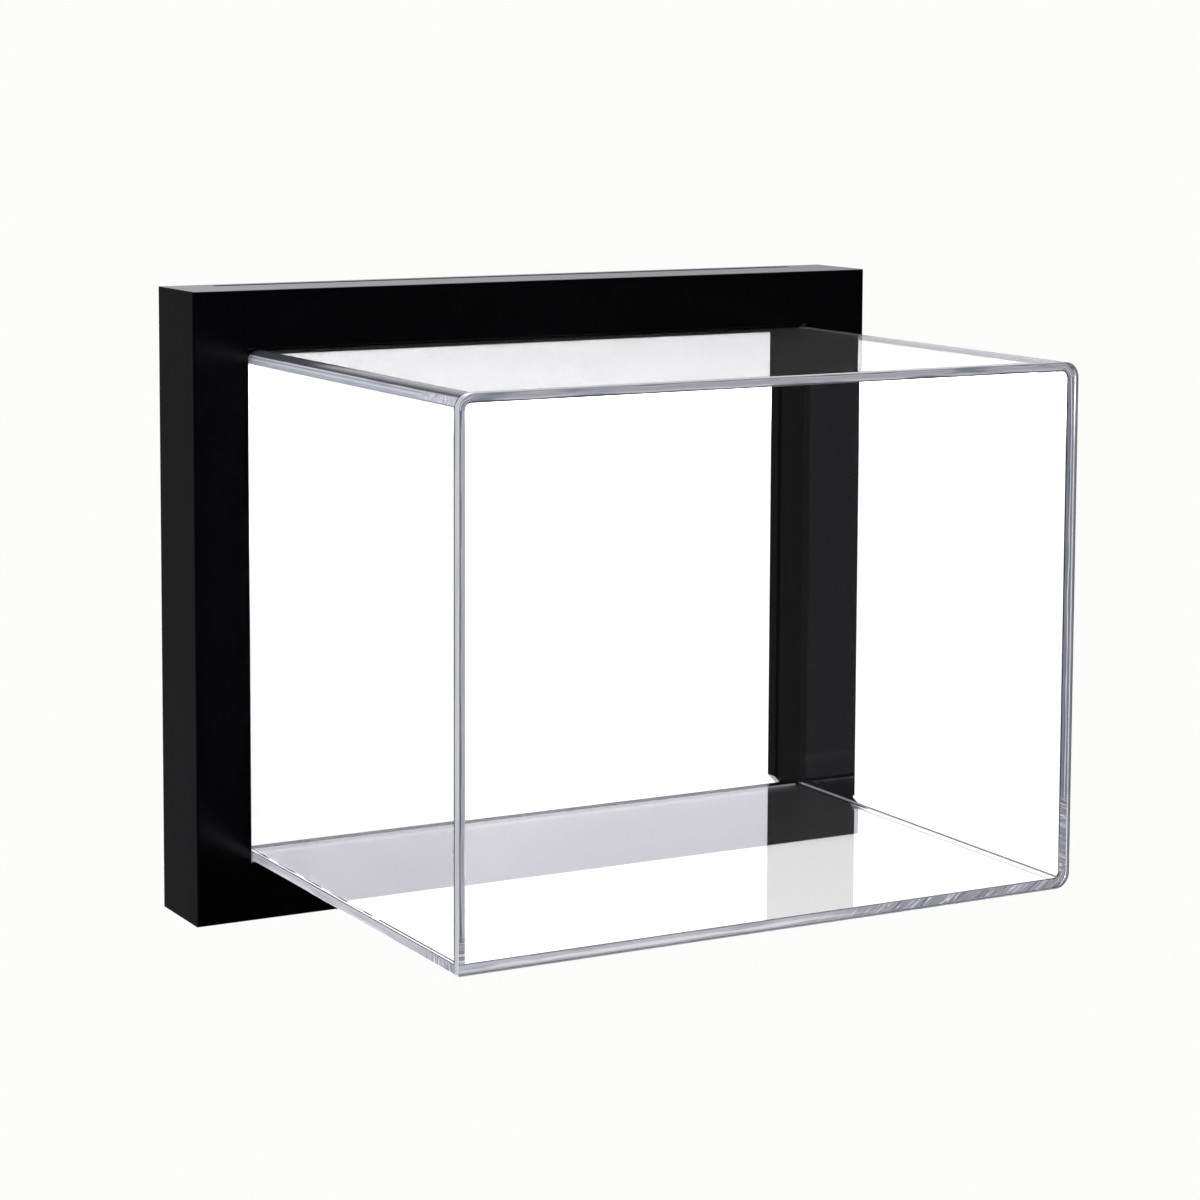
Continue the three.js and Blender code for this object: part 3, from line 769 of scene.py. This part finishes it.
class CASE_OT_back_panel(Operator):
    """Makes the clear back with its eased edges"""
    bl_idname = "display_case.back_panel"
    bl_label = "Back Panel"

    def execute(self, context):
        settings = context.scene.case_cover
        low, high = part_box("back_panel")
        bm = bmesh.new()
        bmesh.ops.create_cube(bm, size=1)
        for vertex in bm.verts:
            vertex.co = Vector([low[i] + (high[i] - low[i]) * (vertex.co[i] + 0.5) for i in range(3)])
        for face in bm.faces:
            face.material_index = 0 if abs(face.normal.y) > 0.9 else 1
        bmesh.ops.bevel(
            bm, geom=bm.edges[:], offset=settings.edge_ease, segments=2, profile=0.5, affect="EDGES")
        clear = cast_acrylic("cast_acrylic_back", settings)
        # The panel's sawn edges carry the same painted glow and painted reflection tones as the cover's
        edge = painted_light_edge(
            "sawn_edge_back_panel", settings, across_axis("Y", low.y, high.y), 2, NEAR_EDGE, 0.2)
        panel = true_faces(mesh_object("clear_back_panel", bm, [clear, edge], 30))
        rides(panel, body_of("back_panel"), "clear_acrylic", "back_panel")
        return {"FINISHED"}


def cut_out(piece, cutter):
    """Cuts one closed form out of another for good, and throws the cutter away."""
    recess = piece.modifiers.new("recess", "BOOLEAN")
    recess.operation, recess.object, recess.solver = "DIFFERENCE", cutter, "EXACT"
    graph = bpy.context.evaluated_depsgraph_get()
    whole = bpy.data.meshes.new_from_object(piece.evaluated_get(graph))
    piece.modifiers.clear()
    piece.data = whole
    bpy.data.objects.remove(cutter)


def screw_rings(settings, low, high, spokes=32):
    """The rings of a countersunk wood screw along Y, from its flat head down its thread to its tip."""
    rim, burr, fit, point = 0.03 * MM, 0.04 * MM, 0.05 * MM, 0.1 * MM
    crest_steepness, rings_per_turn = 3.2, 9
    head, shaft = (high.x - low.x) / 2, settings.shaft / 2
    root, threaded = shaft - settings.thread_depth, high.y - settings.head_depth - settings.thread_pitch / 2
    rings = [
        (high.y, [head - burr] * spokes), (high.y - rim, [head - fit] * spokes),
        (high.y - settings.head_depth, [shaft - fit] * spokes)]
    tip_start = low.y + settings.tip
    y = threaded
    while y > low.y + 1.5 * point:
        narrow = min(1, (y - low.y) / (tip_start - low.y))
        radii = []
        for k in range(spokes):
            turn = ((threaded - y) / settings.thread_pitch - k / spokes) % 1
            crest = max(0, 1 - abs(turn - 0.5) * crest_steepness)
            radii.append((root + settings.thread_depth * crest) * narrow)
        rings.append((y, radii))
        y -= settings.thread_pitch / rings_per_turn
    rings.append((low.y, [point] * spokes))
    return rings


class CASE_OT_hangers(Operator):
    """Makes the two pressed keyhole hangers and their four threaded screws, and plates the mitre wedges"""
    bl_idname = "display_case.hangers"
    bl_label = "Hangers and Screws"

    def execute(self, context):
        settings = context.scene.case_hardware
        plate = zinc_plate("bright_zinc_plate_on_pressed_steel", settings)
        bright = zinc_plate("bright_zinc_plate_on_screws", settings)
        for name in frame["nodes"]:
            if name.startswith("mitre_wedge"):
                give(name, plate)
        for side in ("left", "right"):
            node_name = f"keyhole_hanger_{side}"
            bm = bmesh.new()
            bm.from_mesh(frame["nodes"][node_name].data)
            bmesh.ops.remove_doubles(bm, verts=bm.verts, dist=1e-6)
            bmesh.ops.dissolve_limit(bm, angle_limit=math.radians(1), verts=bm.verts, edges=bm.edges)
            ease_arrises(bm, settings.plate_ease, 2)
            hanger = true_faces(mesh_object(f"pressed_hanger_{side}", bm, [plate], 40))
            rides(hanger, body_of(node_name), "zinc_steel", node_name)
            for level, turn in (("lower", math.radians(17)), ("upper", math.radians(48))):
                node_name = f"hanger_screw_{side}_{level}"
                low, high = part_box(node_name)
                middle = (low + high) / 2
                shape = turned(middle, screw_rings(settings, low, high))
                screw = mesh_object(f"threaded_screw_{side}_{level}", shape, [bright], 30)
                cut_out(screw, self.cross(settings, middle, high, turn))
                rides(screw, body_of(node_name), "zinc_steel", node_name)
        return {"FINISHED"}

    def cross(self, settings, middle, high, turn):
        """The cutter for a cross recess, narrower at its bottom, turned as the screw was left."""
        share_of_head, above, narrowed = 0.62, 0.4 * MM, 0.6
        arm, reach = settings.recess / 2, (high.x - middle.x) * share_of_head
        outline = [(arm, arm), (arm, reach), (-arm, reach)]
        bm = bmesh.new()
        rings = []
        for y, grow in ((high.y + above, 1.0), (high.y, 1.0), (high.y - settings.recess_depth, narrowed)):
            ring = []
            for quarter in range(4):
                for x, z in outline:
                    point = Vector((x, z)) * grow
                    point.rotate(Matrix.Rotation(turn + quarter * math.pi / 2, 2))
                    ring.append(bm.verts.new((middle.x + point.x, y, middle.z + point.y)))
            rings.append(ring)
        return mesh_object("cross_cutter", lofted(bm, rings), [])


class CASE_OT_bumpers(Operator):
    """Moulds the four domed rubber bumpers"""
    bl_idname = "display_case.bumpers"
    bl_label = "Bumpers"

    def execute(self, context):
        settings = context.scene.case_hardware
        rubber = moulded_rubber("moulded_black_rubber", settings)
        spokes, steps = 48, 10
        foot_ease, foot_rise, crown = 0.15 * MM, 0.12 * MM, 0.2 * MM
        for name in [n for n in frame["nodes"] if n.startswith("bumper")]:
            low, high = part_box(name)
            middle, radius = (low + high) / 2, (high.x - low.x) / 2
            shoulder = high.y - settings.dome
            rings = [(low.y, [radius - foot_ease] * spokes), (low.y + foot_rise, [radius] * spokes)]
            for k in range(steps):
                angle = math.radians(90 * k / steps)
                rings.append(
                    (shoulder + settings.dome * math.sin(angle), [radius * math.cos(angle)] * spokes))
            rings.append((high.y, [crown] * spokes))
            bumper = mesh_object(f"domed_{name}", turned(middle, rings), [rubber], 60)
            rides(bumper, body_of(name), "bumper_rubber", name)
        return {"FINISHED"}


# The stage


# How bright the studio is all round, by the angle from straight ahead of the case towards its right, in
# degrees: a white sweep behind it to the right, a dim room behind it to the left and in front.
STUDIO_ROUND = (
    (-180, 0.13), (-166, 0.13), (-146, 0.12), (-125, 0.01), (-95, 0.01), (-80, 0.30), (-60, 0.02),
    (-30, 0.004), (0, 0.001), (23, 0.001), (28, 0.04), (31, 0.08), (34, 0.03), (60, 0.05), (90, 0.50),
    (122, 0.90), (138, 1.70), (150, 1.90), (158, 2.30), (172, 2.30), (180, 0.12))
# How much of that shows by height, from straight down to straight up: the sweep's foot is in its own shade.
STUDIO_HEIGHT = ((0.0, 1.0), (0.5, 1.0), (0.515, 0.22), (0.575, 0.22), (0.61, 1.0), (1.0, 1.0))
# How bright the sweep is through clear sheet, by height: just below level it is lit hardest, which carries it
# through the top sheet at a grazing glance.
SWEEP_HEIGHT = ((0.0, 1.45), (0.443, 1.45), (0.447, 4.6), (0.461, 5.5), (0.465, 1.45), (1.0, 1.45))


def seen_straight(tree):
    """1 for what is seen directly or straight through clear sheet, 0 for what is seen in a reflection."""
    path = node(tree, "ShaderNodeLightPath")
    either = node(
        tree, "ShaderNodeMath", {"operation": "MAXIMUM"},
        _0=path.outputs["Is Camera Ray"], _1=path.outputs["Is Transmission Ray"])
    bounces = node(
        tree, "ShaderNodeMath", {"operation": "ADD"},
        _0=path.outputs["Glossy Depth"], _1=path.outputs["Diffuse Depth"])
    unbounced = node(tree, "ShaderNodeMath", {"operation": "LESS_THAN", 1: 0.5}, _0=bounces)
    straight = node(tree, "ShaderNodeMath", {"operation": "MULTIPLY"}, _0=either, _1=unbounced)
    return path, straight


def white_sweep(tree, settings, glow=None):
    """The over-bright white of the studio's sweep, just short of clipping where it is seen directly, after
    what tells where it shows. glow feeds its brightness through clear sheet, if that isn't even."""
    path, straight = seen_straight(tree)
    level = node(
        tree, "ShaderNodeMapRange", {"To Min": settings.sweep_glow, "To Max": settings.sweep_seen},
        Value=path.outputs["Is Camera Ray"], **({"To_Min": glow} if glow else {}))
    white = node(tree, "ShaderNodeEmission", {"Color": linear(settings.sweep)}, Strength=level)
    return path, straight, white


def sweep_or_light(tree, sweep, mirrored, soft):
    """The white sweep where it is seen straight, one light in mirrors and another on matt surfaces."""
    path, straight, white = sweep
    matt = node(
        tree, "ShaderNodeMath", {"operation": "GREATER_THAN", 1: 0.5}, _0=path.outputs["Diffuse Depth"])
    lit = node(tree, "ShaderNodeMixShader", Fac=matt, _1=mirrored, _2=soft)
    return node(tree, "ShaderNodeMixShader", Fac=straight, _1=lit, _2=white)


class CASE_OT_stage(Operator):
    """Sets the camera, the white sweep, the soft studio light and the pale floor"""
    bl_idname = "display_case.stage"
    bl_label = "Stage"

    def execute(self, context):
        scene = context.scene
        self.camera(scene, scene.case_stage)
        self.studio(scene, scene.case_stage)
        self.floor(scene.case_stage)
        scene.view_settings.view_transform = "Standard"
        scene.cycles.max_bounces = 32
        scene.cycles.transmission_bounces = 24
        scene.cycles.transparent_max_bounces = 16
        scene.cycles.glossy_bounces = 12
        return {"FINISHED"}

    def camera(self, scene, settings):
        """The camera, as it was fitted to the photograph's straight edges."""
        camera = bpy.data.cameras.new("camera")
        holder = bpy.data.objects.new("camera", camera)
        scene.collection.objects.link(holder)
        holder.location = settings.camera_place
        holder.rotation_euler = settings.camera_turn
        camera.sensor_width = 36
        camera.lens = settings.lens
        camera.shift_x, camera.shift_y = settings.shift_x, settings.shift_y
        camera.clip_start, camera.clip_end = 0.01, 100
        scene.camera = holder

    def studio(self, scene, settings):
        """The world: the sweep where it is seen, the studio's tones in mirrors, soft light on the rest."""
        world = bpy.data.worlds.new("studio")
        scene.world = world
        world.use_nodes = True
        world.cycles.sampling_method = "NONE"
        tree = world.node_tree
        tree.nodes.clear()
        way = node(tree, "ShaderNodeTexCoord")
        axes = node(tree, "ShaderNodeSeparateXYZ", Vector=way.outputs["Generated"])
        height = node(tree, "ShaderNodeMapRange", {"From Min": -1.0}, Value=axes.outputs["Z"])
        lit_sweep = node(tree, "ShaderNodeValToRGB", {"stops": SWEEP_HEIGHT}, Fac=height)
        sweep = white_sweep(tree, settings, lit_sweep)
        ahead = node(tree, "ShaderNodeMath", {"operation": "MULTIPLY", 1: -1.0}, _0=axes.outputs["Y"])
        turn = node(tree, "ShaderNodeMath", {"operation": "ARCTAN2"}, _0=axes.outputs["X"], _1=ahead)
        share = node(tree, "ShaderNodeMapRange", {"From Min": -math.pi, "From Max": math.pi}, Value=turn)
        round_levels = [((degrees + 180) / 360, level) for degrees, level in STUDIO_ROUND]
        ramp = node(tree, "ShaderNodeValToRGB", {"stops": round_levels}, Fac=share)
        foot = node(tree, "ShaderNodeValToRGB", {"stops": STUDIO_HEIGHT}, Fac=height)
        strength = node(tree, "ShaderNodeMath", {"operation": "MULTIPLY", 1: settings.studio_glow}, _0=foot)
        tinted = node(
            tree, "ShaderNodeMix",
            {"data_type": "RGBA", "blend_type": "MULTIPLY", 0: 1.0, 7: linear(settings.studio_tint)},
            _6=ramp)
        round_glow = node(tree, "ShaderNodeBackground", Color=tinted.outputs[2], Strength=strength)
        soft_glow = node(
            tree, "ShaderNodeBackground", {"Color": linear(settings.sweep), "Strength": settings.soft_glow})
        node(tree, "ShaderNodeOutputWorld", Surface=sweep_or_light(tree, sweep, round_glow, soft_glow))

    def floor(self, settings):
        """The pale floor, which is as white as the sweep where it is seen."""
        bm = bmesh.new()
        half, drop = settings.floor_size / 2, CAD_BOX[0][2] - settings.floor_drop
        corners = [(-half, -half), (half, -half), (half, half), (-half, half)]
        bm.faces.new([bm.verts.new((x, y, drop)) for x, y in corners])
        made, tree = blank_material("pale_floor", settings.floor)
        sweep = white_sweep(tree, settings)
        paint = node(tree, "ShaderNodeBsdfDiffuse", {"Color": linear(settings.floor)})
        away = node(tree, "ShaderNodeBsdfTransparent")
        node(tree, "ShaderNodeOutputMaterial", Surface=sweep_or_light(tree, sweep, away, paint))
        floor = mesh_object("floor", bm, [made])


# The add-on


class CASE_PT_sidebar(Panel):
    """Lists the steps that dress the display case"""
    bl_idname = "CASE_PT_sidebar"
    bl_label = "Display Case"
    bl_space_type = "VIEW_3D"
    bl_region_type = "UI"
    bl_category = "Display Case"

    def draw(self, context):
        for step in STEPS:
            self.layout.operator(step.bl_idname)


STEPS = (
    CASE_OT_frame_bars, CASE_OT_mitre_glue, CASE_OT_cover, CASE_OT_back_panel, CASE_OT_hangers,
    CASE_OT_bumpers, CASE_OT_stage)
GROUPS = {
    "case_frame": CaseFrameSettings,
    "case_cover": CaseCoverSettings,
    "case_hardware": CaseHardwareSettings,
    "case_stage": CaseStageSettings,
}


def register():
    for cls in (*GROUPS.values(), *STEPS, CASE_PT_sidebar):
        bpy.utils.register_class(cls)
    for name, group in GROUPS.items():
        setattr(bpy.types.Scene, name, PointerProperty(type=group))


def unregister():
    for name in GROUPS:
        delattr(bpy.types.Scene, name)
    for cls in (CASE_PT_sidebar, *reversed(STEPS), *reversed(GROUPS.values())):
        bpy.utils.unregister_class(cls)


def main():
    register()
    for step in STEPS:
        group, name = step.bl_idname.split(".")
        if getattr(getattr(bpy.ops, group), name)() != {"FINISHED"}:
            raise RuntimeError(f"{step.bl_label} did not finish")


if __name__ == "__main__":
    main()
